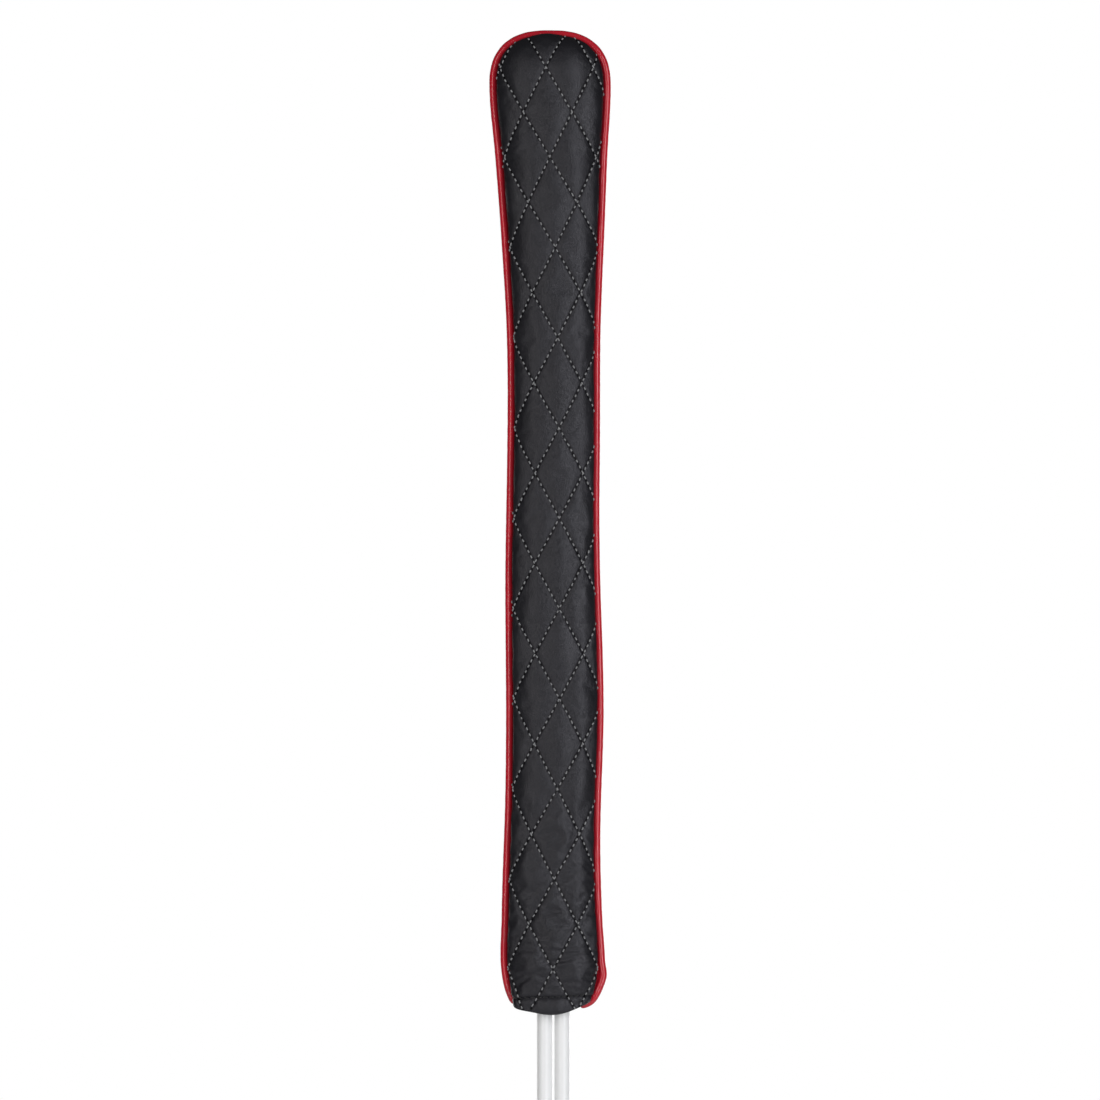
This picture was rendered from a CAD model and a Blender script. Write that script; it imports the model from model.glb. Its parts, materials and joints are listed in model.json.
import json

import bpy
import numpy as np
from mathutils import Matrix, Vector


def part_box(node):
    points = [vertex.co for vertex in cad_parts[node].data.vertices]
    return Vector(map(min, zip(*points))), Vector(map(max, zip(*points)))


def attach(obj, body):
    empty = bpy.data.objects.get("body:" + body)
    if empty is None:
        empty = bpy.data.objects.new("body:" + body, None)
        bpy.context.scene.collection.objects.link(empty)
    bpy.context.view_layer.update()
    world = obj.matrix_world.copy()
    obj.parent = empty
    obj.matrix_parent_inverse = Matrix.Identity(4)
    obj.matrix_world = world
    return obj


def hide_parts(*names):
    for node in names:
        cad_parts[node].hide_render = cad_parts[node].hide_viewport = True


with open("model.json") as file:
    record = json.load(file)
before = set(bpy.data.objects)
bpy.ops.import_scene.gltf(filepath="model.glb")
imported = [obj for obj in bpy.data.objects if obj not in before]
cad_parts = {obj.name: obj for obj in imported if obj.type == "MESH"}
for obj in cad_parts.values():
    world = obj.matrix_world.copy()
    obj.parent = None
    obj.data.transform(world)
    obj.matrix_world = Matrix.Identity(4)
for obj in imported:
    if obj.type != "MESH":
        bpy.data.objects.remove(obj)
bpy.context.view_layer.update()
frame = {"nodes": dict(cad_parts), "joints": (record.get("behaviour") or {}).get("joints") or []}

bl_info = {
    "name": "Quilted Stick Sleeve",
    "version": (1, 0, 0),
    "blender": (4, 5, 0),
    "location": "3D View > Sidebar > Stick Sleeve",
    "description": "Makes a quilted leather sleeve with piped seams round two alignment sticks",
    "category": "Add Mesh",
}

MM = 0.001
FRONT = -1
BACK = 1
SIDES = {"front": FRONT, "back": BACK}
SLEEVE = "sleeve"

# ---- The sleeve's driving sizes, in metres ----

# Half the sleeve's width to the outside of the piping, how far it leans to one side, and half its
# depth, each against height above the mouth.
WELT_LOW, WELT_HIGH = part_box("piping_welt")
TOP = WELT_HIGH.z
HEAD_HALF_WIDTH = (WELT_HIGH.x - WELT_LOW.x) / 2
HEAD_Z = 381 * MM
WIDTHS = MM * np.array([
    (-20, 11), (0, 17.6), (5, 19.3), (10, 20.5), (17, 21.3), (40, 20.7), (75, 19.8), (125, 20.1),
    (225, 19.1), (285, 19.5), (317, 21.1), (352, 23.1), (381, 25), (410, 23.1),
])
SWAY = MM * np.array([
    (-30, 0), (0, 0), (55, -0.7), (125, 0.6), (185, -0.3), (250, 0.2), (320, -0.3), (385, -1.4),
    (420, -1.5),
])
DEPTHS = MM * np.array([
    (-30, 8.6), (0, 9.2), (20, 9.7), (60, 9.5), (250, 9.5), (330, 10.4), (381, 11.2), (410, 11.2),
])
HEAD_ROUNDNESS = 2.68
SECTION_ROUNDNESS = 2.2
RIM_LIFT = 4.5 * MM
RIM_LIFT_FADES_AT = 40 * MM
RIM_LIFT_LIMIT = 1.3  # of its value at the mouth, which a point inside the hem may reach

# The leather rolls over the piping, and these are the widths of red that it leaves showing.
PIPING_RADIUS = 1.6 * MM
LEFT_REVEAL = MM * np.array([(-20, 2.0), (60, 2.0), (200, 2.0), (330, 2.2), (410, 2.2)])
RIGHT_REVEAL = MM * np.array([(-20, 2.4), (60, 2.0), (200, 1.6), (330, 2.1), (410, 2.4)])
ROLL_Y = 1.35 * MM

# The layers behind the leather, as depths below its outer face.
LEATHER_THICKNESS = 0.9 * MM
HEM_FOLD_RADIUS = 1.3 * MM
HEM_TOP = 9.6 * MM
HEM_STITCH_HEIGHT = 8.2 * MM
FOAM_DEPTH = 1.2 * MM
FOAM_THICKNESS = 1.8 * MM
LINING_DEPTH = 3.3 * MM
LINING_THICKNESS = 0.5 * MM
PADDING_STARTS_AT = 10.2 * MM
FOAM_FOLLOWS, LINING_FOLLOWS = 0.8, 0.15  # of the quilting's depth

# The quilting is a lattice of diamonds that drifts a little to one side up the sleeve.
DIAMOND_HALF_WIDTH = 10.2 * MM
DIAMOND_HALF_HEIGHT = 18.45 * MM
LOWEST_CROSSING = 19.5 * MM
QUILT_DRIFT = MM * np.array([
    (-30, -0.6), (0, -0.3), (60, 1.1), (130, 1.8), (200, 2.5), (260, 1.6), (310, 1.0), (350, -0.6),
    (390, -1.7), (420, -2),
])
DIAMOND_SIDE = np.hypot(DIAMOND_HALF_WIDTH, DIAMOND_HALF_HEIGHT)
LINE_SPACING = 2 * DIAMOND_HALF_WIDTH * DIAMOND_HALF_HEIGHT / DIAMOND_SIDE
FAMILIES = (0, 1)  # the lines that rise to one side, and those that rise to the other

# How finely the surfaces are divided.
PANEL_COLUMNS = 67
PANEL_ROW_STEP = 0.66 * MM
HEAD_ROWS = 50
HEAD_STOPS_AT = 0.985  # of the quarter turn over the head, where the two panels meet
INNER_COLUMNS = 34
INNER_ROW_STEP = 2.4 * MM
INNER_HEAD_ROWS = 18
FOLD_STEPS = 9
SECTION_STEPS = 241  # for measuring the length of a cross-section
WITHIN_A_ROW = 0.999  # keeps each row's shares apart from the next row's
SMALLEST = 1e-12

# How the leather lies between its stitches: heights, and lengths over the cloth.
HELD_BY_SEAM = 4 * MM
HELD_DEPTH = 0.25  # of the quilting's depth
SEAM_PINCH, SEAM_PINCH_WIDTH = 0.8 * MM, 2 * MM
UNEVENNESS, UNEVENNESS_LENGTH = 0.16, 17 * MM
GATHER_DEPTH, GATHER_LENGTH = 0.07 * MM, 3.1 * MM
RELIEF_STARTS_AT, RELIEF_FULL_AFTER = 1 * MM, 2 * MM

# Creases: how much one bows, and its side welts' height and width as shares of its own. Then each
# set's seed, count, lowest and highest place, angle, length and share of the wrinkle depth.
CREASE_BOW = 0.08
WELT_HEIGHT, WELT_WIDTH = 0.5, 2.4
CREASE_SETS = (
    (40, 16, 13 * MM, 31 * MM, 0.05, 8 * MM, 1.0),
    (50, 16, 45 * MM, 385 * MM, 0.3, 6 * MM, 0.3),
)

# The hem: the groove under its stitches, the swell over the elastic, and the elastic's gathers.
HEM_GROOVE, HEM_GROOVE_WIDTH = 0.6 * MM, 0.75 * MM
HEM_SWELL, HEM_SWELL_HEIGHT, HEM_SWELL_WIDTH = 0.35 * MM, 4.2 * MM, 2.6 * MM
HEM_GATHER, HEM_GATHER_LENGTH, HEM_GATHER_STRETCH = 0.12 * MM, 3.4 * MM, 0.15
HEM_GATHER_HEIGHT, HEM_GATHER_REACH = 5 * MM, 7 * MM

# The front's uneven rim: each bulge's place across the cloth, its width, and the way it moves.
RIM_BULGES = MM * np.array([(-15, 5, -1.5, -1.3, -1.3), (10, 7, 0, 0, 0.8)])
BULGE_FADES_AT = 13 * MM

# The stitches.
HOLE_RADIUS = 0.55 * MM
LINE_SHADE_WIDTH, LINE_SHADE_DEPTH = 0.8 * MM, 0.18 * MM
STITCH_STRAYS = 0.09 * MM
CLEAR_OF_RIM, CLEAR_OF_TOP, CLEAR_OF_SEAM = 0.9 * MM, 1.5 * MM, 1.2 * MM
QUILT_LINES = (-4, 15)  # more than the panel holds
HEM_THREAD_RADIUS = 0.23 * MM
HEM_THREAD_SHOWN = 0.8
HEM_THREAD_STARTS_AT, HEM_THREAD_STOPS_AT = 1.6 * MM, 3 * MM  # from each seam

# The cloth simulation.
HELD_BY_STITCH, HELD_BY_EDGE, HEM_HOLD_FADES = 0.9 * MM, 1.5 * MM, 3 * MM
SWELLING_FRAMES = 20
SLACK_UP_TO = 45 * MM
LARGEST_SWELLING = 1.5 * MM

# The piping's small unevenness, and its tapered ends.
PIPING_STEP = 0.8 * MM
PIPING_HEAD_ROWS = 44
PIPING_SOFTENING = 7  # passes
PIPING_SIDES = 22
PIPING_WANDER, PIPING_WANDER_LENGTH = 0.12 * MM, 26 * MM
PIPING_LUMPS, PIPING_LUMP_LENGTH = 0.012, 5 * MM
PIPING_END_RADIUS, PIPING_TAPER = 0.55, 5 * MM
FLANGE_REACH, FLANGE_HALF_THICKNESS = 2.9, 0.34  # of the cord's radius
PIPING_ENDS = {
    "left": MM * np.array([(-13.6, 1.2, 5.2), (-15.4, 0.4, 5.6)]),
    "right": MM * np.array([
        (20.7, 0, 16.3), (19.9, -0.2, 13.6), (17.7, -0.6, 8.4), (15.8, -0.6, 5.4), (13.6, -0.3, 3.9),
        (11.4, 0.4, 3.1),
    ]),
}

# The sticks' ends: the ground point's flat and length, and how far each edge is rounded.
POINT_RADIUS, POINT_LENGTH, POINT_EDGE = 1.2 * MM, 14 * MM, 0.25 * MM
TOP_EDGE = 0.5 * MM
STICK_SIDES = 56


# ---- Curves and noise ----

def smooth_curve(knots, at):
    """A cubic through the knots: between two of them it is the Hermite cubic whose slope at each
    knot is that of the parabola through it and its two neighbours."""
    x, y = knots.T
    slope = np.gradient(y, x)
    i = np.clip(np.searchsorted(x, at) - 1, 0, len(x) - 2)
    width = x[i + 1] - x[i]
    t = (at - x[i]) / width
    start = (1 + 2 * t) * (1 - t) ** 2 * y[i] + t * (1 - t) ** 2 * width * slope[i]
    end = t**2 * (3 - 2 * t) * y[i + 1] + t**2 * (t - 1) * width * slope[i + 1]
    return start + end


def ripples(across, along, wavelength, seed, count=9):
    """Smooth noise, mostly between -1 and 1: a sum of sine waves of seeded direction and phase, with
    lengths from 0.6 to 1.6 of the wavelength."""
    chance = np.random.default_rng(seed)
    total = 0
    for _ in range(count):
        angle, phase = chance.uniform(0, 2 * np.pi, 2)
        length = wavelength * chance.uniform(0.6, 1.6)
        run = across * np.cos(angle) + along * np.sin(angle)
        total = total + np.sin(2 * np.pi * run / length + phase)
    return total / np.sqrt(count)


def bell(distance, width):
    """A smooth bump: exp(-(distance / width)^2)."""
    return np.exp(-((distance / width) ** 2))


def unit(vectors):
    """The same directions, each with a length of 1."""
    return vectors / np.maximum(np.linalg.norm(vectors, axis=-1, keepdims=True), SMALLEST)


# ---- The sleeve's form ----

def half_width(level):
    """Half the sleeve's width at a level, over the piping."""
    return np.minimum(smooth_curve(WIDTHS, level), HEAD_HALF_WIDTH)


def rim_lift(level, share):
    """How much higher a point is than its level: it grows as the square of the share of the way to
    the seam, and fades out as the square of the height left."""
    fade = np.clip(1 - level / RIM_LIFT_FADES_AT, 0, RIM_LIFT_LIMIT)
    return RIM_LIFT * fade**2 * share**2


def section(level, narrowing, depth, angle):
    """The panel's cross-section at each row: the super-ellipse x = W sin^(2/n), y = D cos^(2/n),
    set between the two seams, with W and D less by the depth below the leather's face."""
    bend = 2 / SECTION_ROUNDNESS
    share = np.sin(angle)
    across = np.sign(share) * np.abs(share) ** bend
    out = np.clip(np.cos(angle), 0, 1) ** bend
    left, right = smooth_curve(LEFT_REVEAL, level), smooth_curve(RIGHT_REVEAL, level)
    reveal = np.where(share < 0, left, right)
    width = (half_width(level) - reveal - depth) * narrowing
    rise = (smooth_curve(DEPTHS, level) - ROLL_Y - depth) * narrowing
    x = smooth_curve(SWAY, level) + width * across
    return x, ROLL_Y + rise * out, level + rim_lift(level, share)


def straight_rows(start, stop, step):
    """Rows up the body of the sleeve: their levels, with a narrowing of 1."""
    level = np.linspace(start, stop, max(2, int(abs(stop - start) / step)))
    return level, np.ones_like(level)


def head_rows(inset, count):
    """Rows over the arch of the head. At an angle f up the arch the width narrows as cos f, and the
    height is (1 - cos^n f)^(1/n) of the way to the top."""
    turn = np.linspace(0, HEAD_STOPS_AT * np.pi / 2, count + 1)[1:]
    narrowing = np.cos(turn)
    rise = (1 - narrowing**HEAD_ROUNDNESS) ** (1 / HEAD_ROUNDNESS)
    return HEAD_Z + (TOP - inset - HEAD_Z) * rise, narrowing


class Layer:
    """A grid over one panel. Its rows run up the sleeve, each at a level, a narrowing and a depth
    below the leather's face, and its columns run from the left seam to the right one, in equal
    lengths along the cross-section. `across` and `along` are distances over the laid-out cloth."""

    def __init__(self, side, level, narrowing, depth, columns):
        rows = len(level)
        at = [np.broadcast_to(a, rows)[:, None] for a in (level, narrowing, depth)]
        fine = np.linspace(-np.pi / 2, np.pi / 2, SECTION_STEPS)[None, :]
        x, y, _ = section(*at, fine)
        run = np.cumsum(np.hypot(np.diff(x), np.diff(y)), axis=1)
        girth = run[:, -1:]
        run = np.concatenate([np.zeros((rows, 1)), run], axis=1) / girth
        row_number = np.arange(rows)[:, None]
        share = np.linspace(0, 1, columns)[None, :]
        found = np.interp(
            (row_number + WITHIN_A_ROW * share).ravel(),
            (row_number + WITHIN_A_ROW * run).ravel(),
            np.broadcast_to(fine, run.shape).ravel(),
        )
        x, y, z = section(*at, found.reshape(rows, columns))
        self.side = side
        self.points = np.stack([x, side * y, z], axis=-1)
        self.girth = girth
        self.across = (share - 0.5) * girth
        steps = np.linalg.norm(np.diff(self.points[:, columns // 2], axis=0), axis=1)
        self.climb = np.concatenate([[0], np.cumsum(steps)])
        self.lift = z - at[0]

    def start_climb_at(self, row, value):
        """Counts the distance along the cloth from this row."""
        self.climb = self.climb - self.climb[row] + value

    @property
    def along(self):
        """The distance up the cloth, with the rim's lift."""
        return self.climb[:, None] + self.lift

    def normals(self):
        """Unit normals: the cross product of the grid's central differences, turned outwards."""
        over = np.gradient(self.points, axis=1)
        up = np.gradient(self.points, axis=0)
        return unit(np.cross(over, up) * -self.side)

    def push_out(self, distance):
        """Moves each point along its normal by its own distance."""
        self.points = self.points + self.normals() * distance[..., None]

    def at(self, across, along):
        """Points and normals on the layer at these places on the laid-out cloth, by bilinear
        interpolation between the grid's points."""
        rows, columns = self.points.shape[:2]
        row = np.clip(np.interp(along, self.climb, np.arange(rows)), 0, rows - 1.001)
        r = row.astype(int)
        girth = self.girth[r, 0] + (row - r) * (self.girth[r + 1, 0] - self.girth[r, 0])
        column = np.clip((across / girth + 0.5) * (columns - 1), 0, columns - 1.001)
        c = column.astype(int)
        fr, fc = (row - r)[:, None], (column - c)[:, None]

        def blend(grid):
            low = grid[r, c] * (1 - fc) + grid[r, c + 1] * fc
            high = grid[r + 1, c] * (1 - fc) + grid[r + 1, c + 1] * fc
            return low * (1 - fr) + high * fr

        return blend(self.points), blend(self.normals())

    def lift_at(self, across, along):
        """The rim's lift at these places, taken at the nearest point of the grid."""
        rows, columns = self.points.shape[:2]
        r = np.clip(np.interp(along, self.climb, np.arange(rows)).astype(int), 0, rows - 1)
        c = np.clip(((across / self.girth[r, 0] + 0.5) * (columns - 1)).astype(int), 0, columns - 1)
        return self.lift[r, c]


# ---- The quilting ----

def quilt_coordinates(across, along):
    """Where a point lies in the lattice of stitch lines. Each of the two numbers is whole on one
    family of lines, and grows by 1 from one line to the next."""
    right = (across - smooth_curve(QUILT_DRIFT, along)) / DIAMOND_HALF_WIDTH
    up = (along - LOWEST_CROSSING) / DIAMOND_HALF_HEIGHT
    return (up + right) / 2, (up - right) / 2


def on_the_cloth(p, q):
    """Where a place in the lattice is on the laid-out cloth: quilt_coordinates the other way."""
    along = LOWEST_CROSSING + DIAMOND_HALF_HEIGHT * (p + q)
    return DIAMOND_HALF_WIDTH * (p - q) + smooth_curve(QUILT_DRIFT, along), along


def puff(coordinate, roundness):
    """How full the padding is between two stitch lines: 0 on a line and 1 half-way, as a sine to a
    power below 1, which is steep beside the line."""
    share = 2 * np.abs(coordinate - np.round(coordinate))
    return np.sin(share * np.pi / 2) ** roundness


def quilt_relief(layer, settings):
    """How far the leather stands below the top of its puffs: the product of the two families' puffs,
    held down near the seams, with gathers running in from the stitches and soft uneven filling."""
    p, q = quilt_coordinates(layer.across, layer.along)
    full = puff(p, settings.roundness) * puff(q, settings.roundness)
    to_seam = layer.girth / 2 - np.abs(layer.across)
    held = 1 - bell(to_seam, HELD_BY_SEAM)
    uneven = ripples(layer.across, layer.along, UNEVENNESS_LENGTH, seed=3 + layer.side)
    filled = full * (1 + UNEVENNESS * uneven) - 1
    relief = settings.depth * (filled * held - HELD_DEPTH * (1 - held))
    relief -= SEAM_PINCH * bell(to_seam, SEAM_PINCH_WIDTH)
    gathers = ripples(layer.across, layer.along, GATHER_LENGTH, seed=11 + layer.side)
    near_line = 1 - np.clip(full, 0, 1)
    return relief + GATHER_DEPTH * gathers * near_line


def creases(layer, places):
    """The depth of a set of short creases: each is a bell across its line, which fades towards both
    of its ends and sinks by its depth, with a low welt on each side."""
    total = np.zeros(layer.points.shape[:2])
    for across, along, angle, length, width, depth in places:
        right, up = layer.across - across, layer.along - along
        run = right * np.cos(angle) + up * np.sin(angle)
        off = up * np.cos(angle) - right * np.sin(angle) + CREASE_BOW * length * (run / length) ** 2
        profile = bell(off, width) - WELT_HEIGHT * bell(off, WELT_WIDTH * width)
        total += depth * profile * bell(run, length)
    return -total


def scattered_creases(seed, count, low, high, angle, length, depth):
    """Creases at seeded places between two heights: near one angle, and no two quite alike."""
    chance = np.random.default_rng(seed)
    return [
        (
            chance.uniform(-15, 15) * MM,
            chance.uniform(low, high),
            angle + chance.normal(0, 0.25),
            length * chance.uniform(0.6, 1.3),
            chance.uniform(0.5, 0.9) * MM,
            depth * chance.uniform(0.4, 1),
        )
        for _ in range(count)
    ]


# ---- Meshes ----

def grid_faces(rows, columns, flip=False, wrap=False):
    """Quads over a grid of rows and columns. wrap joins the last column to the first."""
    r = np.arange(rows - 1)[:, None] * columns
    c = np.arange(columns if wrap else columns - 1)[None, :]
    right = (c + 1) % columns
    corners = [r + c, r + right, r + columns + right, r + columns + c]
    quads = np.stack(corners, axis=-1).reshape(-1, 4)
    return quads[:, ::-1] if flip else quads


def panel_faces(points, side):
    """The faces of a panel's grid, turned outwards."""
    return grid_faces(*points.shape[:2], flip=side == BACK)


def end_faces(rows, columns):
    """The faces that close the two ends of a tube whose rows are rings."""
    return [list(range(columns))[::-1], list(range((rows - 1) * columns, rows * columns))]


def linked(name, data):
    """An object for this mesh, light or camera, in the scene."""
    item = bpy.data.objects.new(name, data)
    bpy.context.scene.collection.objects.link(item)
    return item


def new_piece(name, points, faces, finish, body=SLEEVE, uv=None):
    """A smooth mesh object at the origin, which rides on a body and takes a material slot's finish.
    uv is a pair of numbers for each vertex."""
    points = np.asarray(points, np.float32).reshape(-1, 3)
    mesh = bpy.data.meshes.new(name)
    mesh.from_pydata(points, [], faces if isinstance(faces, list) else faces.tolist())
    mesh.shade_smooth()
    if uv is not None:
        corners = np.zeros(len(mesh.loops), np.int32)
        mesh.loops.foreach_get("vertex_index", corners)
        pairs = np.asarray(uv, np.float32).reshape(-1, 2)[corners]
        mesh.uv_layers.new(name="cloth").data.foreach_set("uv", pairs.ravel())
    mesh.materials.append(finish)
    piece = linked(name, mesh)
    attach(piece, body)
    return piece


def give_thickness(piece, thickness):
    """Thickens a sheet inwards from its points, evenly round its bends."""
    wall = piece.modifiers.new("wall", "SOLIDIFY")
    wall.thickness = thickness
    wall.offset = -1
    wall.use_even_offset = True
    wall.use_quality_normals = True


def sweep(path, across_axis, ring, radii):
    """A tube with closed ends: the ring's outline, scaled at each step of the path, stands square
    to the path, and its second number runs along the axis across the path."""
    tangent = unit(np.gradient(path, axis=0))
    normal = unit(np.cross(across_axis, tangent))
    side = np.cross(tangent, normal)
    points = (
        path[:, None]
        + normal[:, None] * (ring[None, :, :1] * radii[:, None, None])
        + side[:, None] * (ring[None, :, 1:] * radii[:, None, None])
    )
    rows, columns = points.shape[:2]
    return points, grid_faces(rows, columns, wrap=True).tolist() + end_faces(rows, columns)


# ---- Finishes ----

def new_finish(name, colour, roughness, specular=0.5, **others):
    """A material with one even colour and roughness, for nodes to be added to. The others are
    values for more of the shader's sockets, whose names have _ for a space."""
    finish = bpy.data.materials.new(name)
    finish.use_nodes = True
    shader = finish.node_tree.nodes["Principled BSDF"]
    shader.inputs["Base Color"].default_value = (*colour, 1)
    shader.inputs["Roughness"].default_value = roughness
    shader.inputs["Specular IOR Level"].default_value = specular
    for key, value in others.items():
        shader.inputs[key.replace("_", " ")].default_value = value
    return finish


def add_node(finish, kind, inputs=None, **settings):
    """One node of a material. Each input is a value, or the output of another node."""
    node = finish.node_tree.nodes.new(kind)
    for key, value in settings.items():
        setattr(node, key, value)
    for key, value in (inputs or {}).items():
        if isinstance(value, bpy.types.NodeSocket):
            finish.node_tree.links.new(value, node.inputs[key])
        else:
            node.inputs[key].default_value = value
    return node


def maths(finish, operation, a, b=0.0, c=0.0, clamp=False):
    """One sum on values or outputs. MULTIPLY_ADD is a * b + c."""
    node = add_node(
        finish, "ShaderNodeMath", {0: a, 1: b, 2: c}, operation=operation, use_clamp=clamp
    )
    return node.outputs[0]


def shaded(colour, share):
    """The colour made darker or lighter."""
    return tuple(c * share for c in colour)


def bumped(finish, height, strength, distance, **inputs):
    """A normal that follows a height, on top of another normal where one is given."""
    inputs = {"Height": height, "Strength": strength, "Distance": distance, **inputs}
    return add_node(finish, "ShaderNodeBump", inputs).outputs["Normal"]


def object_place(finish):
    """Where a point is on its own object, in metres."""
    return add_node(finish, "ShaderNodeTexCoord").outputs["Object"]


def cloth_map(finish):
    """The two numbers of the piece's own map."""
    spot = add_node(finish, "ShaderNodeUVMap", uv_map="cloth").outputs["UV"]
    return add_node(finish, "ShaderNodeSeparateXYZ", {0: spot}).outputs


def mix_colours(finish, share, a, b):
    """Colour a at a share of 0, and colour b at a share of 1."""
    node = add_node(finish, "ShaderNodeMix", data_type="RGBA")
    tree = finish.node_tree
    for socket, value in ((node.inputs[0], share), (node.inputs[6], a), (node.inputs[7], b)):
        if isinstance(value, bpy.types.NodeSocket):
            tree.links.new(value, socket)
        else:
            socket.default_value = value if isinstance(value, float) else (*value, 1)
    return node.outputs[2]


def into_shader(finish, **sockets):
    """Links outputs to the shader's sockets, whose names have _ for a space."""
    shader = finish.node_tree.nodes["Principled BSDF"]
    for name, output in sockets.items():
        finish.node_tree.links.new(output, shader.inputs[name.replace("_", " ")])


def object_noise(finish, scale, detail=3.0, stretch=(1, 1, 1)):
    """Noise over the piece, in metres: scale is in cells per metre."""
    inputs = {"Vector": object_place(finish), "Scale": stretch}
    moved = add_node(finish, "ShaderNodeMapping", inputs).outputs[0]
    inputs = {"Vector": moved, "Scale": scale, "Detail": detail}
    return add_node(finish, "ShaderNodeTexNoise", inputs).outputs["Fac"]


def leather_grain(finish, cell, distance):
    """Pebbled grain: the distance to the walls between Voronoi cells, bent by a little noise, plus
    a lower grain of under half the size. Gives its height, and the normal that follows it."""
    place = object_place(finish)
    inputs = {"Vector": place, "Scale": 0.6 / cell, "Detail": 2.0}
    bent = add_node(finish, "ShaderNodeTexNoise", inputs).outputs["Color"]
    inputs = {0: bent, 1: (cell, cell, cell)}
    moved = add_node(finish, "ShaderNodeVectorMath", inputs, operation="MULTIPLY").outputs[0]
    inputs = {0: place, 1: moved}
    place = add_node(finish, "ShaderNodeVectorMath", inputs, operation="ADD").outputs[0]
    heights = []
    for size in (cell, cell / 2.2):
        inputs = {"Vector": place, "Scale": 1 / size}
        cells = add_node(finish, "ShaderNodeTexVoronoi", inputs, feature="DISTANCE_TO_EDGE")
        heights.append(maths(finish, "MULTIPLY", cells.outputs["Distance"], 4.0, clamp=True))
    height = maths(finish, "MULTIPLY_ADD", heights[1], 0.45, heights[0])
    return height, bumped(finish, height, 1.0, distance)


def sleeve_leather(settings, stitching):
    """Black leather: pebbled grain, uneven dye and wear, stitch lines that sink and shade into
    needle holes, and a dull line under the hem's stitches. Its map is the lattice of stitch lines."""
    tint = (0.96, 0.94, 1, 1)
    finish = new_finish("sleeve_leather", settings.leather, 0.5, Specular_Tint=tint)
    height, grain = leather_grain(finish, cell=0.75 * MM, distance=0.036 * MM)
    lattice = cloth_map(finish)
    gaps = [
        maths(finish, "MULTIPLY", maths(finish, "PINGPONG", lattice[axis], 0.5), LINE_SPACING)
        for axis in FAMILIES
    ]
    holes = []
    for family in FAMILIES:
        turns = maths(finish, "DIVIDE", lattice[1 - family], stitching.pitch / DIAMOND_SIDE)
        from_hole = maths(finish, "MULTIPLY", maths(finish, "PINGPONG", turns, 0.5), stitching.pitch)
        squares = [
            maths(finish, "POWER", maths(finish, "MULTIPLY", gap, 1 / HOLE_RADIUS), 2.0)
            for gap in (from_hole, gaps[family])
        ]
        holes.append(maths(finish, "SQRT", maths(finish, "ADD", *squares)))
    from_hole = maths(finish, "SUBTRACT", maths(finish, "MINIMUM", *holes), 0.5, clamp=True)
    nearest = maths(finish, "MINIMUM", *gaps)
    from_line = maths(finish, "DIVIDE", nearest, LINE_SHADE_WIDTH, clamp=True)
    rise = maths(finish, "ADD", lattice[0], lattice[1])
    hem_below = LOWEST_CROSSING - HEM_STITCH_HEIGHT
    above = maths(finish, "MULTIPLY_ADD", rise, DIAMOND_HALF_HEIGHT, hem_below)
    above = maths(finish, "ABSOLUTE", above)
    from_hem = maths(finish, "DIVIDE", above, HEM_GROOVE_WIDTH, clamp=True)
    grain_shade = maths(finish, "MULTIPLY_ADD", height, 0.3, 0.7, clamp=True)
    line_shade = maths(finish, "MULTIPLY_ADD", from_line, 0.4, 0.6, clamp=True)
    line_shade = maths(finish, "MULTIPLY", line_shade, from_hole)
    shade = maths(finish, "MULTIPLY", grain_shade, line_shade)
    dye = object_noise(finish, scale=38, detail=4.0)
    worn = object_noise(finish, scale=9, detail=2.0)
    pale = tuple(c * 1.45 + 0.003 for c in settings.leather)
    colour = mix_colours(finish, dye, shaded(settings.leather, 0.62), pale)
    colour = mix_colours(finish, shade, shaded(settings.leather, 0.1), colour)
    dull = maths(finish, "MULTIPLY_ADD", worn, 0.14, 0.23)
    dull = maths(finish, "MULTIPLY_ADD", dye, 0.1, dull)
    gloss = maths(finish, "MULTIPLY_ADD", line_shade, 0.165, 0.145)
    gloss = maths(finish, "MULTIPLY", gloss, from_hem)
    groove = bumped(finish, from_line, 1.0, LINE_SHADE_DEPTH, Normal=grain)
    into_shader(finish, Base_Color=colour, Roughness=dull, Normal=groove, Specular_IOR_Level=gloss)
    return finish


def piping_leather(settings):
    """Red leather drawn tight round a cord: fine grain, a smooth shine and small cross wrinkles."""
    finish = new_finish("piping_leather", settings.piping, 0.34)
    height, grain = leather_grain(finish, cell=0.5 * MM, distance=0.01 * MM)
    dye = object_noise(finish, scale=60)
    colour = mix_colours(finish, dye, shaded(settings.piping, 0.8), settings.piping)
    grain_shade = maths(finish, "MULTIPLY_ADD", height, 0.25, 0.75, clamp=True)
    colour = mix_colours(finish, grain_shade, (0.2, 0.005, 0.008), colour)
    wrinkles = object_noise(finish, scale=420, detail=2.0, stretch=(1, 1, 2.2))
    folded = bumped(finish, wrinkles, 0.4, 0.07 * MM, Normal=grain)
    rough = maths(finish, "MULTIPLY_ADD", dye, 0.12, 0.13)
    into_shader(finish, Base_Color=colour, Roughness=rough, Normal=folded)
    return finish


def sewing_thread(name, colour):
    """Twisted polyester thread: slanting plies round the stitch, whose own map runs round and
    along it, with a soft sheen."""
    finish = new_finish(name, colour, 0.62, 0.35, Sheen_Weight=0.25)
    spot = cloth_map(finish)
    turn = maths(finish, "MULTIPLY_ADD", spot[1], 3.0, spot[0])
    plies = maths(finish, "PINGPONG", turn, 0.5)
    fuzz = object_noise(finish, scale=2600, detail=2.0)
    tone = maths(finish, "MULTIPLY_ADD", fuzz, 0.5, plies, clamp=True)
    colour = mix_colours(finish, tone, shaded(colour, 0.55), shaded(colour, 1.25))
    into_shader(finish, Base_Color=colour, Normal=bumped(finish, plies, 0.6, 0.05 * MM))
    return finish


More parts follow.
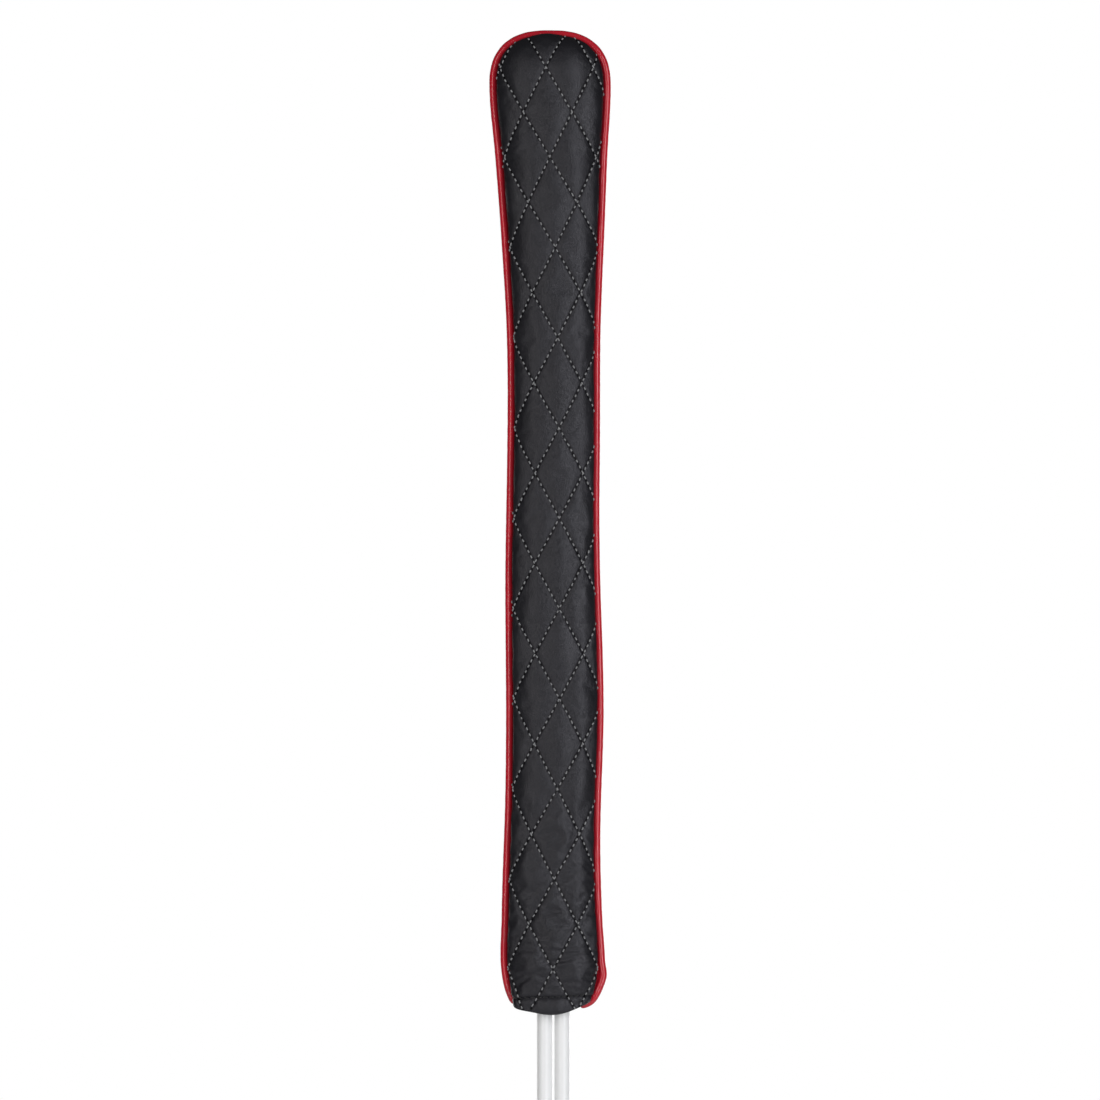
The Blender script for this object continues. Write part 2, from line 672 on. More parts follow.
def woven_cloth(name, colour, pitch, fuzzy=0.3):
    """Plain-woven or felted cloth: crossed ribs at the thread pitch, broken up by noise."""
    finish = new_finish(name, colour, 0.9, 0.2, Sheen_Weight=fuzzy)
    spot = add_node(finish, "ShaderNodeSeparateXYZ", {0: object_place(finish)}).outputs
    ribs = [
        maths(finish, "SINE", maths(finish, "MULTIPLY", spot[axis], 2 * np.pi / pitch))
        for axis in (0, 2)
    ]
    weave = maths(finish, "MULTIPLY", *ribs)
    fuzz = object_noise(finish, scale=900, detail=4.0)
    height = maths(finish, "MULTIPLY_ADD", weave, 0.4, fuzz)
    colour = mix_colours(finish, fuzz, shaded(colour, 0.55), shaded(colour, 1.3))
    into_shader(finish, Base_Color=colour, Normal=bumped(finish, height, 0.8, 0.15 * MM))
    return finish


def padding_foam(colour):
    """Open-cell foam: small round pores, a little under a millimetre apart."""
    finish = new_finish("padding_foam", colour, 0.95, 0.15)
    inputs = {"Vector": object_place(finish), "Scale": 1100.0}
    pores = add_node(finish, "ShaderNodeTexVoronoi", inputs).outputs["Distance"]
    colour = mix_colours(finish, pores, shaded(colour, 0.4), colour)
    into_shader(finish, Base_Color=colour, Normal=bumped(finish, pores, 1.0, 0.25 * MM))
    return finish


def white_gelcoat(settings):
    """The sticks' white finish: glass fibres faintly showing as long streaks, in a resin that
    lets a little light in, under a satin skin."""
    finish = new_finish(
        "white_gelcoat", settings.stick, 0.3,
        Subsurface_Weight=0.7, Subsurface_Radius=(1, 1, 1), Subsurface_Scale=2.5 * MM,
    )
    fibres = object_noise(finish, scale=900, stretch=(1, 1, 0.02))
    scuffs = object_noise(finish, scale=45, detail=5.0, stretch=(1, 1, 0.25))
    colour = mix_colours(finish, fibres, shaded(settings.stick, 0.93), settings.stick)
    scuffed = maths(finish, "MULTIPLY", scuffs, 0.12)
    colour = mix_colours(finish, scuffed, colour, shaded(settings.stick, 0.8))
    rough = maths(finish, "MULTIPLY_ADD", scuffs, 0.3, 0.16)
    streaks = bumped(finish, fibres, 0.35, 0.03 * MM)
    into_shader(finish, Base_Color=colour, Roughness=rough, Normal=streaks)
    return finish


def matt_paper():
    """The studio floor: pale matt paper with hardly any grain."""
    finish = new_finish("matt_paper", (0.86, 0.86, 0.86), 0.9, 0.1)
    grain = object_noise(finish, scale=300, detail=2.0)
    colour = mix_colours(finish, grain, (0.85, 0.85, 0.85), (0.88, 0.88, 0.88))
    into_shader(finish, Base_Color=colour)
    return finish


# ---- Settings that a user would change ----

class QuiltSettings(bpy.types.PropertyGroup):
    """How full the padding is, and how loose the leather over it."""

    depth: bpy.props.FloatProperty(
        name="Quilting depth",
        description="How far the stitch lines sink below the tops of the puffs",
        default=0.9 * MM, min=0.0, max=2 * MM, subtype="DISTANCE", unit="LENGTH", precision=5,
    )
    roundness: bpy.props.FloatProperty(
        name="Puff roundness",
        description="Power of the puffs' profile: lower is fuller, with steeper sides",
        default=0.55, min=0.2, max=2.0,
    )
    pressure: bpy.props.FloatProperty(
        name="Padding pressure",
        description="How hard the padding presses the leather outwards, in the cloth's pressure units",
        default=3.0, min=0.0, max=10.0,
    )
    looseness: bpy.props.FloatProperty(
        name="Looseness",
        description="How much longer the leather is than the panel it covers",
        default=0.003, min=0.0, max=0.1, subtype="FACTOR", precision=4,
    )
    mouth_looseness: bpy.props.FloatProperty(
        name="Looseness at the mouth",
        description="How much longer the leather is near the mouth, where the elastic gathers it",
        default=0.022, min=0.0, max=0.1, subtype="FACTOR", precision=4,
    )
    wrinkle: bpy.props.FloatProperty(
        name="Wrinkle depth",
        description="Depth of the creases in the leather near the mouth",
        default=0.42 * MM, min=0.0, max=1 * MM, subtype="DISTANCE", unit="LENGTH", precision=5,
    )


class StitchSettings(bpy.types.PropertyGroup):
    """The sizes of the stitches."""

    pitch: bpy.props.FloatProperty(
        name="Quilting pitch",
        description="Length from one quilting stitch to the next",
        default=2.55 * MM, min=1 * MM, max=6 * MM, subtype="DISTANCE", unit="LENGTH", precision=5,
    )
    shown: bpy.props.FloatProperty(
        name="Thread shown",
        description="Share of the pitch that shows between two needle holes",
        default=0.52, min=0.3, max=0.95, subtype="FACTOR",
    )
    radius: bpy.props.FloatProperty(
        name="Thread radius",
        description="Radius of the quilting thread",
        default=0.3 * MM, min=0.1 * MM, max=0.6 * MM, subtype="DISTANCE", unit="LENGTH", precision=5,
    )
    hem_pitch: bpy.props.FloatProperty(
        name="Hem pitch",
        description="Length from one hem stitch to the next",
        default=2.6 * MM, min=1 * MM, max=6 * MM, subtype="DISTANCE", unit="LENGTH", precision=5,
    )


class ColourSettings(bpy.types.PropertyGroup):
    """The colours that show."""

    leather: bpy.props.FloatVectorProperty(
        name="Leather", description="Colour of the panels", default=(0.0085, 0.0083, 0.0105),
        min=0.0, max=1.0, subtype="COLOR",
    )
    piping: bpy.props.FloatVectorProperty(
        name="Piping", description="Colour of the piping", default=(0.48, 0.011, 0.024),
        min=0.0, max=1.0, subtype="COLOR",
    )
    thread: bpy.props.FloatVectorProperty(
        name="Quilting thread", description="Colour of the quilting thread", default=(0.21, 0.21, 0.215),
        min=0.0, max=1.0, subtype="COLOR",
    )
    stick: bpy.props.FloatVectorProperty(
        name="Sticks", description="Colour of the sticks", default=(0.76, 0.76, 0.76),
        min=0.0, max=1.0, subtype="COLOR",
    )


# ---- The pieces ----

def panel_layer(side):
    """The leather of one panel as one sheet. It starts inside the mouth as the facing, turns round
    the rim through half a circle, and runs up the outside and over the head."""
    fold = np.linspace(np.pi, 0, FOLD_STEPS)
    inside = straight_rows(HEM_TOP, HEM_FOLD_RADIUS, PANEL_ROW_STEP)[0][:-1]
    outside, _ = straight_rows(HEM_FOLD_RADIUS, HEAD_Z, PANEL_ROW_STEP)
    over, narrowing = head_rows(PIPING_RADIUS, HEAD_ROWS)
    turn = HEM_FOLD_RADIUS * (1 - np.sin(fold))
    level = np.concatenate([inside, turn, outside[1:], over])
    depth = np.concatenate([
        np.full(len(inside), 2 * HEM_FOLD_RADIUS),
        HEM_FOLD_RADIUS * (1 - np.cos(fold)),
        np.zeros(len(outside) - 1 + len(over)),
    ])
    narrow = np.concatenate([np.ones(len(inside) + len(turn) + len(outside) - 1), narrowing])
    odd = len(level) - 1 + len(level) % 2
    layer = Layer(side, level[-odd:], narrow[-odd:], depth[-odd:], PANEL_COLUMNS)
    layer.start_climb_at(len(inside) + len(fold) // 2 + odd - len(level), 0)
    return layer


def mouth_shape(layer):
    """The hem's own relief: a groove under its stitches, and a soft swell over the elastic."""
    groove = -HEM_GROOVE * bell(layer.along - HEM_STITCH_HEIGHT, HEM_GROOVE_WIDTH)
    swell = HEM_SWELL * bell(layer.along - layer.lift - HEM_SWELL_HEIGHT, HEM_SWELL_WIDTH)
    slow = HEM_GATHER_STRETCH * layer.along
    gathered = HEM_GATHER * ripples(layer.across, slow, HEM_GATHER_LENGTH, seed=29 + layer.side)
    return groove + swell + gathered * bell(layer.along - HEM_GATHER_HEIGHT, HEM_GATHER_REACH)


def shape_corners(layer):
    """The front's rim isn't even: its left corner bulges out and down in a soft fold, where the end
    of the piping is tucked behind it, and its right half is drawn up a little."""
    if layer.side == BACK:
        return
    near_rim = 1 - np.clip(np.abs(layer.climb[:, None]) / BULGE_FADES_AT, 0, 1)
    near_rim = near_rim**2 * (3 - 2 * near_rim)
    for across, width, *move in RIM_BULGES:
        share = bell(layer.across - across, width) * near_rim
        layer.points = layer.points + np.array(move) * share[..., None]


def quilted_panel(side, settings):
    """One panel's leather with all its relief."""
    layer = panel_layer(side)
    outer = np.clip((layer.climb - RELIEF_STARTS_AT) / RELIEF_FULL_AFTER, 0, 1)[:, None]
    relief = quilt_relief(layer, settings)
    places = []
    for seed, *where, share in CREASE_SETS:
        places += scattered_creases(seed + side, *where, share * settings.wrinkle)
    relief += creases(layer, places) + mouth_shape(layer)
    layer.push_out(relief * outer)
    shape_corners(layer)
    return layer


def sewn_weights(layer):
    """How firmly each point of a panel is held, from 0 to 1: by the stitch lines, by the seams, over
    the top, and throughout the hem and the facing inside it."""
    p, q = quilt_coordinates(layer.across, layer.along)
    from_line = LINE_SPACING * np.minimum(np.abs(p - np.round(p)), np.abs(q - np.round(q)))
    edge = layer.girth / 2 - np.abs(layer.across)
    top = layer.climb[-1] - layer.climb[:, None]
    held = np.maximum(bell(from_line, HELD_BY_STITCH), bell(np.minimum(edge, top), HELD_BY_EDGE))
    above_hem = (layer.climb[:, None] - HEM_STITCH_HEIGHT) / HEM_HOLD_FADES
    in_hem = 1 - np.clip(above_hem, 0, 1)
    return np.maximum(held, in_hem)


def add_weights(piece, name, weights):
    """A vertex group with these weights, to the nearest hundredth."""
    group = piece.vertex_groups.new(name=name)
    hundredths = np.round(100 * weights.ravel()).astype(int)
    for step in np.unique(hundredths):
        group.add(np.flatnonzero(hundredths == step).tolist(), float(step) / 100, "REPLACE")


def let_padding_swell(layer, settings):
    """Runs a cloth simulation on every second row and column of a panel: the padding presses the
    slightly loose leather outwards between the stitches that hold it, and it wrinkles. The move
    of each point, which stays under the largest swelling, is then spread over the whole grid."""
    before = layer.points[::2, ::2]
    mesh = bpy.data.meshes.new("loose_leather")
    mesh.from_pydata(before.reshape(-1, 3), [], panel_faces(before, layer.side).tolist())
    piece = linked("loose_leather", mesh)
    add_weights(piece, "sewn", sewn_weights(layer)[::2, ::2])
    from_mouth = np.clip((layer.points[..., 2] - SLACK_UP_TO) / SLACK_UP_TO, 0, 1)
    add_weights(piece, "tight", from_mouth[::2, ::2])
    cloth = piece.modifiers.new("padding", "CLOTH")
    leather = cloth.settings
    leather.quality = 6
    leather.mass = 0.004
    leather.vertex_group_mass = "sewn"
    leather.pin_stiffness = 20
    leather.tension_stiffness = leather.compression_stiffness = 15
    leather.shear_stiffness = 7.5
    leather.bending_stiffness = 0.5
    leather.tension_damping = leather.compression_damping = leather.shear_damping = 5
    leather.bending_damping = 0.5
    leather.air_damping = 3
    leather.use_pressure = True
    leather.uniform_pressure_force = settings.pressure
    leather.vertex_group_shrink = "tight"
    leather.shrink_min, leather.shrink_max = -settings.mouth_looseness, -settings.looseness
    leather.effector_weights.gravity = 0
    cloth.collision_settings.use_collision = False
    cloth.point_cache.frame_start, cloth.point_cache.frame_end = 1, SWELLING_FRAMES
    scene = bpy.context.scene
    for moment in range(1, SWELLING_FRAMES + 1):
        scene.frame_set(moment)
    swollen = piece.evaluated_get(bpy.context.evaluated_depsgraph_get()).data
    after = np.empty(before.size, np.float32)
    swollen.vertices.foreach_get("co", after)
    scene.frame_set(1)
    bpy.data.objects.remove(piece)
    bpy.data.meshes.remove(mesh)
    move = after.reshape(before.shape) - before
    length = np.linalg.norm(move, axis=-1, keepdims=True)
    move *= np.minimum(1, LARGEST_SWELLING / np.maximum(length, SMALLEST))
    for _ in range(2):
        move = twice_as_fine(move).transpose(1, 0, 2)
    layer.points = layer.points + move


def twice_as_fine(grid):
    """A row put in half-way between each two rows, and every row then softened once."""
    fine = np.empty((2 * len(grid) - 1, *grid.shape[1:]))
    fine[::2] = grid
    fine[1::2] = (grid[:-1] + grid[1:]) / 2
    return softened(fine, 1)


def panel_as_sewn(name, side):
    """The layer of a finished panel, with its points read back from the panel's mesh."""
    layer = panel_layer(side)
    points = np.empty(layer.points.size, np.float32)
    bpy.data.objects[f"{name}_quilted_leather"].data.vertices.foreach_get("co", points)
    layer.points = points.reshape(layer.points.shape).astype(float)
    return layer


class SLEEVE_OT_panels(bpy.types.Operator):
    """Make the front and back panels: quilted leather, folded in at the mouth."""

    bl_idname = "sleeve.panels"
    bl_label = "Leather Panels"

    def execute(self, context):
        finish = sleeve_leather(context.scene.sleeve_colours, context.scene.sleeve_stitches)
        for name, side in SIDES.items():
            layer = quilted_panel(side, context.scene.sleeve_quilt)
            let_padding_swell(layer, context.scene.sleeve_quilt)
            faces = panel_faces(layer.points, side)
            uv = np.stack(quilt_coordinates(layer.across, layer.along), axis=-1)
            piece = new_piece(
                f"{name}_quilted_leather", layer.points, faces, finish, uv=uv
            )
            give_thickness(piece, LEATHER_THICKNESS)
            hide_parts(f"{name}_leather_panel", f"{name}_hem_facing")
        return {"FINISHED"}


def layer_piece(name, side, depth, thickness, finish, relief_share, settings):
    """A layer behind the leather, from the top of the hem up and over the head, which follows a
    share of the quilting."""
    body, one = straight_rows(PADDING_STARTS_AT, HEAD_Z, INNER_ROW_STEP)
    over, narrowing = head_rows(PIPING_RADIUS + depth, INNER_HEAD_ROWS)
    layer = Layer(side, np.append(body, over), np.append(one, narrowing), depth, INNER_COLUMNS)
    layer.start_climb_at(0, PADDING_STARTS_AT)
    layer.push_out(relief_share * quilt_relief(layer, settings))
    piece = new_piece(name, layer.points, panel_faces(layer.points, side), finish)
    give_thickness(piece, thickness)
    return piece


class SLEEVE_OT_padding(bpy.types.Operator):
    """Make the foam padding and the lining behind each panel."""

    bl_idname = "sleeve.padding"
    bl_label = "Padding and Lining"

    def execute(self, context):
        quilt = context.scene.sleeve_quilt
        foam = padding_foam((0.2, 0.2, 0.21))
        cloth = woven_cloth("lining_cloth", (0.03, 0.031, 0.035), pitch=0.5 * MM)
        for name, side in SIDES.items():
            pad = layer_piece(
                f"{name}_foam", side, FOAM_DEPTH, FOAM_THICKNESS, foam, FOAM_FOLLOWS, quilt
            )
            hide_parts(f"{name}_foam_padding")
            lining = layer_piece(
                f"{name}_lining_cloth", side, LINING_DEPTH, LINING_THICKNESS, cloth,
                LINING_FOLLOWS, quilt,
            )
            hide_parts(f"{name}_lining")
        return {"FINISHED"}


def stitch_shape():
    """One stitch, as rings of a capsule that is bent down into its two needle holes: position along
    the stitch from -1 to 1, the ring's radius, its height, and the angles round it."""
    along = np.array([-1, -0.82, -0.4, 0, 0.4, 0.82, 1])
    radius = np.array([0.35, 0.85, 1, 1, 1, 0.85, 0.35])
    height = 0.55 - 1.5 * along**4
    around = np.arange(6) * np.pi / 3
    return along, radius, height, around


def stitches(start, end, normal, thread_radius):
    """Many stitches as one set of points and faces. Each runs from its start to its end, standing
    half out of the leather along the normal."""
    along, radius, height, around = stitch_shape()
    count, rings, sides = len(start), len(along), len(around)
    middle = (start + end) / 2
    half = (end - start) / 2
    side = unit(np.cross(half, normal))
    up = unit(np.cross(side, half))
    out = (height[:, None] + radius[:, None] * np.cos(around)) * thread_radius
    over = radius[:, None] * np.sin(around) * thread_radius
    points = (
        middle[:, None, None]
        + half[:, None, None] * along[None, :, None, None]
        + up[:, None, None] * out[None, :, :, None]
        + side[:, None, None] * over[None, :, :, None]
    )
    shift = (np.arange(count) * rings * sides)[:, None, None]
    faces = (grid_faces(rings, sides, wrap=True)[None] + shift).reshape(-1, 4).tolist()
    faces += (np.array(end_faces(rings, sides))[None] + shift).reshape(-1, sides).tolist()
    uv = np.stack(np.meshgrid(around / (2 * np.pi), along, indexing="xy"), axis=-1)
    return points, faces, np.broadcast_to(uv, (count, rings, sides, 2))


def quilt_line_stitches(layer, family, settings):
    """Where one family's stitches start and end on the laid-out cloth. One lattice coordinate is the
    line's whole number. The other counts diamond sides along the line, and the needle goes in at
    every whole number of pitches. A stitch that would leave the panel isn't sewn."""
    step = settings.pitch / DIAMOND_SIDE
    first, last = QUILT_LINES
    lines = np.arange(first, last)[:, None]
    holes = np.arange(int(first / step), int(last / step)) * step
    margin = (1 - settings.shown) / 2
    ends = []
    for share in (margin, 1 - margin):
        pair = np.broadcast_arrays(lines, holes + share * step)
        p, q = pair if family == 0 else pair[::-1]
        ends.append(np.stack(on_the_cloth(p, q), axis=-1).reshape(-1, 2))
    start, end = ends
    girth = np.interp(start[:, 1], layer.climb, layer.girth[:, 0])
    kept = np.maximum(np.abs(start[:, 0]), np.abs(end[:, 0])) < girth / 2 - CLEAR_OF_SEAM
    for across, along in (spots.T for spots in ends):
        kept &= along > CLEAR_OF_RIM + layer.lift_at(across, along)
        kept &= along < layer.climb[-1] - CLEAR_OF_TOP
    return start[kept], end[kept]


def sewn_down(layer, start, end):
    """Takes stitches from the laid-out cloth to the panel: their two ends and a normal. Each end
    strays a little, as hand-guided sewing does. The cloth is lifted towards the seams at the mouth,
    so the height along it is less there."""
    chance = np.random.default_rng(60 + layer.side)
    ends = []
    for spots in (start, end):
        spots = spots + chance.normal(0, STITCH_STRAYS, spots.shape)
        along = spots[:, 1] - layer.lift_at(spots[:, 0], spots[:, 1])
        ends.append(layer.at(spots[:, 0], along))
    (a, normal), (b, _) = ends
    return a, b, normal


class SLEEVE_OT_quilting(bpy.types.Operator):
    """Sew the diamond quilting on both panels, one stitch at a time."""

    bl_idname = "sleeve.quilting"
    bl_label = "Quilting Stitches"

    def execute(self, context):
        sewing = context.scene.sleeve_stitches
        finish = sewing_thread("quilting_thread", context.scene.sleeve_colours.thread)
        for name, side in SIDES.items():
            layer = panel_as_sewn(name, side)
            both = [quilt_line_stitches(layer, family, sewing) for family in FAMILIES]
            start, end = (np.concatenate(found) for found in zip(*both))
            points, faces, uv = stitches(*sewn_down(layer, start, end), sewing.radius)
            new_piece(f"{name}_quilting_stitches", points, faces, finish, uv=uv)
        return {"FINISHED"}


class SLEEVE_OT_hem_stitching(bpy.types.Operator):
    """Sew the dark row that holds each hem."""

    bl_idname = "sleeve.hem_stitching"
    bl_label = "Hem Stitches"

    def execute(self, context):
        sewing = context.scene.sleeve_stitches
        finish = sewing_thread("hem_thread", (0.004, 0.004, 0.0045))
        for name, side in SIDES.items():
            layer = panel_as_sewn(name, side)
            girth = np.interp(HEM_STITCH_HEIGHT, layer.climb, layer.girth[:, 0])
            start, stop = -girth / 2 + HEM_THREAD_STARTS_AT, girth / 2 - HEM_THREAD_STOPS_AT
            low = np.arange(start, stop, sewing.hem_pitch)
            height = HEM_STITCH_HEIGHT - layer.lift_at(low, HEM_STITCH_HEIGHT)
            a, normal = layer.at(low, height)
            b, _ = layer.at(low + HEM_THREAD_SHOWN * sewing.hem_pitch, height)
            points, faces, uv = stitches(a, b, normal, HEM_THREAD_RADIUS)
            piece = new_piece(f"{name}_hem_stitches", points, faces, finish, uv=uv)
            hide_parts(f"{name}_hem_thread")
        return {"FINISHED"}


def seam_path():
    """The centre of the piping, up the left seam, over the head and down the right one. At the mouth
    both ends turn in under the hem, the right one further."""
    body, one = straight_rows(0, HEAD_Z, 1 * MM)
    over, narrowing = head_rows(PIPING_RADIUS, PIPING_HEAD_ROWS)
    level, narrow = np.append(body, over), np.append(one, narrowing)
    z = level + rim_lift(level, 1)
    reach = (half_width(level) - PIPING_RADIUS) * narrow
    sway = smooth_curve(SWAY, level)
    left = np.stack([sway - reach, 0 * z, z], axis=-1)
    right = np.stack([sway + reach, 0 * z, z], axis=-1)[::-1]
    top = np.array([[smooth_curve(SWAY, np.array([TOP]))[0], 0, TOP - PIPING_RADIUS]])
    right = right[right[:, 2] > PIPING_ENDS["right"][0, 2] + 4 * MM]
    return np.concatenate([PIPING_ENDS["left"], left, top, right, PIPING_ENDS["right"]])


def piping_section():
    """The welt's outline: a circle of radius 1 round the cord that runs on into a thin flange."""
    opening = np.arcsin(FLANGE_HALF_THICKNESS)
    turn = np.linspace(opening, 2 * np.pi - opening, PIPING_SIDES)
    circle = np.stack([np.cos(turn), np.sin(turn)], axis=-1)
    flange = [(FLANGE_REACH, -FLANGE_HALF_THICKNESS), (FLANGE_REACH, FLANGE_HALF_THICKNESS)]
    return np.concatenate([circle, flange])


def resampled(path, step):
    """The path cut into equal lengths, about one step each."""
    run = np.concatenate([[0], np.cumsum(np.linalg.norm(np.diff(path, axis=0), axis=1))])
    even = np.linspace(0, run[-1], int(run[-1] / step))
    return np.stack([np.interp(even, run, path[:, axis]) for axis in range(3)], axis=-1), even


def softened(values, passes):
    """Each value replaced by the mean of itself and its neighbours, over and over."""
    for _ in range(passes):
        values = values.copy()
        values[1:-1] = (values[:-2] + 2 * values[1:-1] + values[2:]) / 4
    return values


class SLEEVE_OT_piping(bpy.types.Operator):
    """Run the red piping round the seam, with its cord inside."""

    bl_idname = "sleeve.piping"
    bl_label = "Piping"

    def execute(self, context):
        path, run = resampled(seam_path(), PIPING_STEP)
        path = softened(path, PIPING_SOFTENING)
        path[:, 1] += PIPING_WANDER * ripples(run, 0 * run, PIPING_WANDER_LENGTH, seed=71)
        lumps = ripples(run, 0 * run, PIPING_LUMP_LENGTH, seed=72)
        radius = PIPING_RADIUS * (1 + PIPING_LUMPS * lumps)
        from_end = np.clip(np.minimum(run, run[-1] - run) / PIPING_TAPER, 0, 1)
        radius *= PIPING_END_RADIUS + (1 - PIPING_END_RADIUS) * from_end**0.5
        across_axis = np.array([0.0, 1.0, 0.0])
        points, faces = sweep(path, across_axis, piping_section(), radius)
        finish = piping_leather(context.scene.sleeve_colours)
        piece = new_piece("red_piping", points, faces, finish)
        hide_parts("piping_welt", "piping_filler")
        return {"FINISHED"}


def stick_profile(low, high, radius):
    """Half the stick's outline, as heights and radii: a ground point with softened corners, a long
    straight shaft and a small rounded top edge."""
    turn = np.linspace(0, np.pi / 2, 6)
    sine, cosine = np.sin(turn), np.cos(turn)
    tip = np.stack([low + POINT_EDGE * (1 - cosine), POINT_RADIUS - POINT_EDGE * (1 - sine)], -1)
    point_top = (low + POINT_LENGTH, radius)
    cone = np.linspace((low + 1.2 * POINT_EDGE, POINT_RADIUS), point_top, 8)[1:]
    shaft = np.linspace(point_top, (high - TOP_EDGE, radius), 40)[1:]
    top = np.stack([high - TOP_EDGE * (1 - sine), radius - TOP_EDGE * (1 - cosine)], -1)[1:]
    return np.concatenate([tip, cone, shaft, top])


def turned(profile, centre, sides):
    """A solid turned round the upright line through the centre, with a flat face at each end."""
    height, radius = profile.T
    angle = np.arange(sides) * 2 * np.pi / sides
    x = centre.x + radius[:, None] * np.cos(angle)
    y = centre.y + radius[:, None] * np.sin(angle)
    points = np.stack([x, y, np.broadcast_to(height[:, None], x.shape)], axis=-1)
    rows = len(profile)
    return points, grid_faces(rows, sides, wrap=True).tolist() + end_faces(rows, sides)


class SLEEVE_OT_sticks(bpy.types.Operator):
    """Make the two sticks."""

    bl_idname = "sleeve.sticks"
    bl_label = "Sticks"

    def execute(self, context):
        finish = white_gelcoat(context.scene.sleeve_colours)
        for body in ("left_stick", "right_stick"):
            low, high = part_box(body)
            radius = (high.x - low.x) / 2
            profile = stick_profile(low.z, high.z, radius)
            points, faces = turned(profile, (low + high) / 2, STICK_SIDES)
            piece = new_piece(f"{body}_rod", points, faces, finish, body)
            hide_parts(body)
        return {"FINISHED"}


class SLEEVE_OT_inner_pieces(bpy.types.Operator):
    """Give the hidden CAD pieces, the elastics and the tip pad, their finishes."""

    bl_idname = "sleeve.inner_pieces"
    bl_label = "Inner Pieces"

    def execute(self, context):
        webbing = woven_cloth("elastic_webbing", (0.012, 0.012, 0.013), pitch=0.7 * MM, fuzzy=0.1)
        felt = woven_cloth("pressed_felt", (0.045, 0.047, 0.052), pitch=1.3 * MM, fuzzy=0.6)
        finishes = {"front_mouth_elastic": webbing, "back_mouth_elastic": webbing, "tip_pad": felt}
        for node, finish in finishes.items():
            frame["nodes"][node].data.materials.clear()
            frame["nodes"][node].data.materials.append(finish)
        return {"FINISHED"}


# ---- The stage ----

FRAME_WIDTH = 451 * MM
CAMERA_DISTANCE = 2.6
SENSOR_WIDTH = 36.0
LOOK_AT = Vector((-1.4 * MM, 0, 190.2 * MM))
LIT_POINT = (0, 0, 190 * MM)
FLOOR_RADIUS, FLOOR_SIDES = 4.0, 96
FLOOR_CLEARANCE = 5 * MM

# How brightly the white surround lights the part, and how brightly it shows, by the kind of ray.
SURROUND_FOR_REFLECTIONS = 0.05
SURROUND_FOR_RAYS = (("Is Diffuse Ray", 0.3), ("Is Camera Ray", 1.0))

# Each light's name, degrees round to the right from the camera, distance, height, width and height
# of its panel, power in watts, and colour.
LIGHTS = (
    ("right", 32, 1.7, 0.35, (0.2, 1.5), 18, (0.95, 0.97, 1)),
    ("left", -25, 1.7, 0.3, (0.3, 1.5), 10, (1, 0.99, 0.97)),
    ("behind", 150, 1.9, 0.2, (0.6, 1.2), 14, (1, 1, 1)),
    ("behind_left", -145, 1.9, 0.2, (0.6, 1.2), 7, (1, 1, 1)),
)


def area_light(name, place, size, power, colour):
    """A rectangular light that faces the middle of the sleeve."""
    data = bpy.data.lights.new(name, "AREA")
    data.shape = "RECTANGLE"
    data.size, data.size_y = size
    data.energy = power
    data.color = colour
    light = linked(name, data)
    light.location = place
    light.rotation_euler = (Vector(LIT_POINT) - Vector(place)).to_track_quat("-Z", "Y").to_euler()


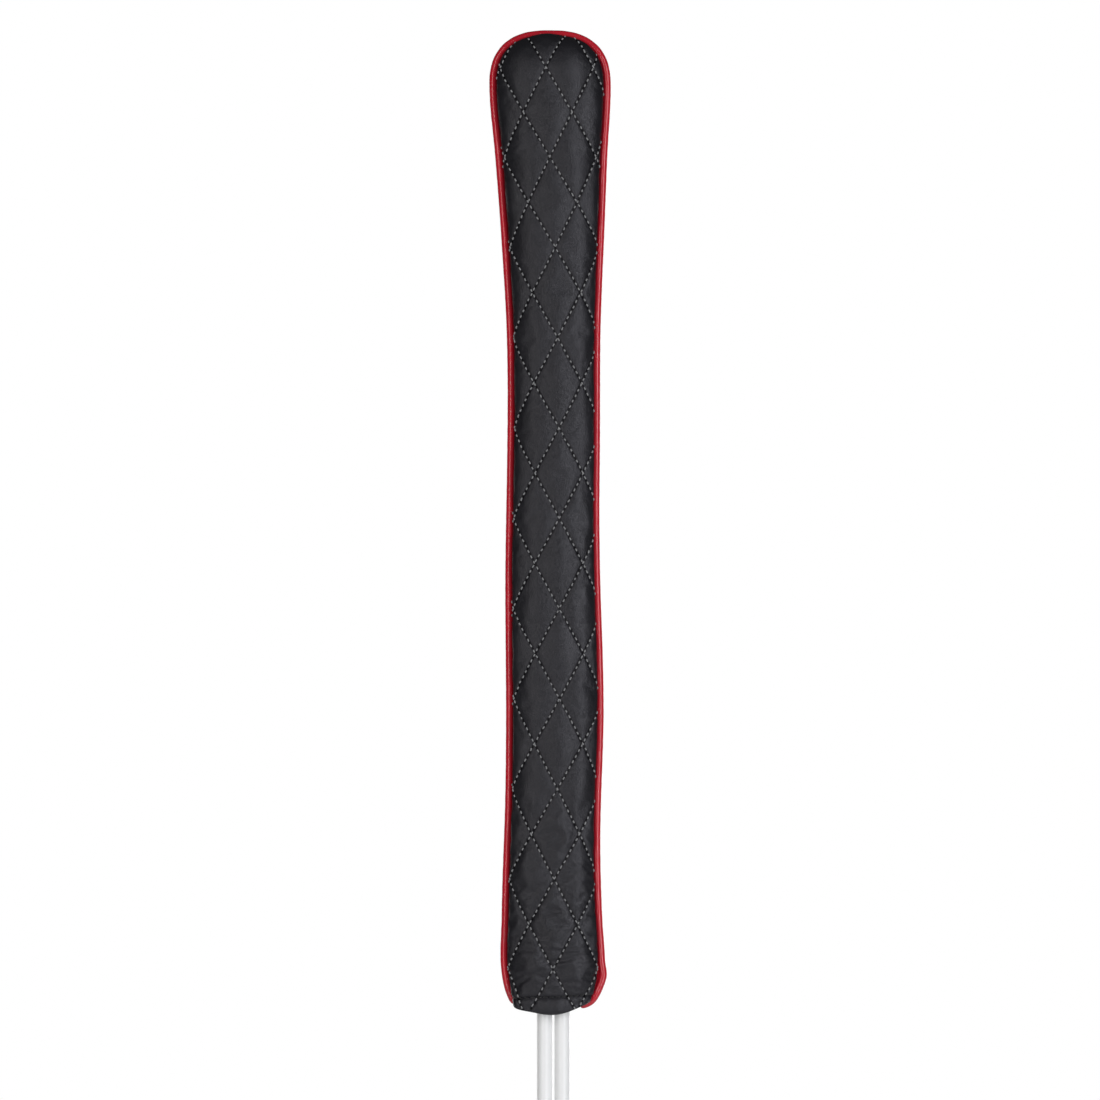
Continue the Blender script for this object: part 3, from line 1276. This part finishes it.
class SLEEVE_OT_stage(bpy.types.Operator):
    """Set up the pale studio: floor, lights, white surround and camera."""

    bl_idname = "sleeve.stage"
    bl_label = "Studio"

    def execute(self, context):
        scene = context.scene
        travel = max(joint["range_m"][1] for joint in frame["joints"])
        floor_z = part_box("left_stick")[0].z - travel - FLOOR_CLEARANCE
        turn = np.arange(FLOOR_SIDES) * 2 * np.pi / FLOOR_SIDES
        x, y = FLOOR_RADIUS * np.cos(turn), FLOOR_RADIUS * np.sin(turn)
        mesh = bpy.data.meshes.new("floor")
        rim = np.stack([x, y, np.full(FLOOR_SIDES, floor_z)], axis=-1)
        mesh.from_pydata(rim, [], [list(range(FLOOR_SIDES))])
        mesh.materials.append(matt_paper())
        floor = linked("floor", mesh)

        for name, azimuth, away, height, size, power, colour in LIGHTS:
            turn = np.radians(azimuth)
            place = (away * np.sin(turn), -away * np.cos(turn), height)
            area_light(name, place, size, power, colour)

        world = bpy.data.worlds.new("white_surround")
        scene.world = world
        world.use_nodes = True
        nodes, links = world.node_tree.nodes, world.node_tree.links
        surround = nodes["Background"]
        surround.inputs["Color"].default_value = (1, 1, 1, 1)
        path = nodes.new("ShaderNodeLightPath")
        socket = surround.inputs["Strength"]
        for kind, value in reversed(SURROUND_FOR_RAYS):
            strength = nodes.new("ShaderNodeMix")
            strength.inputs[3].default_value = value
            links.new(path.outputs[kind], strength.inputs[0])
            links.new(strength.outputs[0], socket)
            socket = strength.inputs[2]
        socket.default_value = SURROUND_FOR_REFLECTIONS
        scene.view_settings.view_transform = "Standard"

        data = bpy.data.cameras.new("camera")
        data.sensor_width = SENSOR_WIDTH
        data.lens = SENSOR_WIDTH * CAMERA_DISTANCE / FRAME_WIDTH
        data.clip_end = 50
        camera = linked("camera", data)
        camera.location = LOOK_AT + Vector((0, -CAMERA_DISTANCE, 0))
        camera.rotation_euler = (np.pi / 2, 0, 0)
        scene.camera = camera
        return {"FINISHED"}


# ---- The add-on ----

SETTINGS = {
    "sleeve_quilt": QuiltSettings,
    "sleeve_stitches": StitchSettings,
    "sleeve_colours": ColourSettings,
}
STEPS = (
    SLEEVE_OT_stage,
    SLEEVE_OT_panels,
    SLEEVE_OT_padding,
    SLEEVE_OT_quilting,
    SLEEVE_OT_hem_stitching,
    SLEEVE_OT_piping,
    SLEEVE_OT_sticks,
    SLEEVE_OT_inner_pieces,
)


class VIEW3D_PT_sleeve(bpy.types.Panel):
    """The settings, with a button for each piece."""

    bl_label = "Stick Sleeve"
    bl_idname = "VIEW3D_PT_sleeve"
    bl_space_type = "VIEW_3D"
    bl_region_type = "UI"
    bl_category = "Stick Sleeve"

    def draw(self, context):
        for name, group in SETTINGS.items():
            box = self.layout.box()
            for prop in group.__annotations__:
                box.prop(getattr(context.scene, name), prop)
        for step in STEPS:
            self.layout.operator(step.bl_idname)


def register():
    """Adds the settings, the operators and the panel to Blender."""
    for kind in (*SETTINGS.values(), *STEPS, VIEW3D_PT_sleeve):
        bpy.utils.register_class(kind)
    for name, group in SETTINGS.items():
        setattr(bpy.types.Scene, name, bpy.props.PointerProperty(type=group))


def unregister():
    """Takes them out again."""
    for name in SETTINGS:
        delattr(bpy.types.Scene, name)
    for kind in reversed((*SETTINGS.values(), *STEPS, VIEW3D_PT_sleeve)):
        bpy.utils.unregister_class(kind)


def main():
    """Builds the whole scene."""
    register()
    for step in STEPS:
        group, name = step.bl_idname.split(".")
        getattr(getattr(bpy.ops, group), name)()
    bpy.context.view_layer.update()


if __name__ == "__main__":
    main()
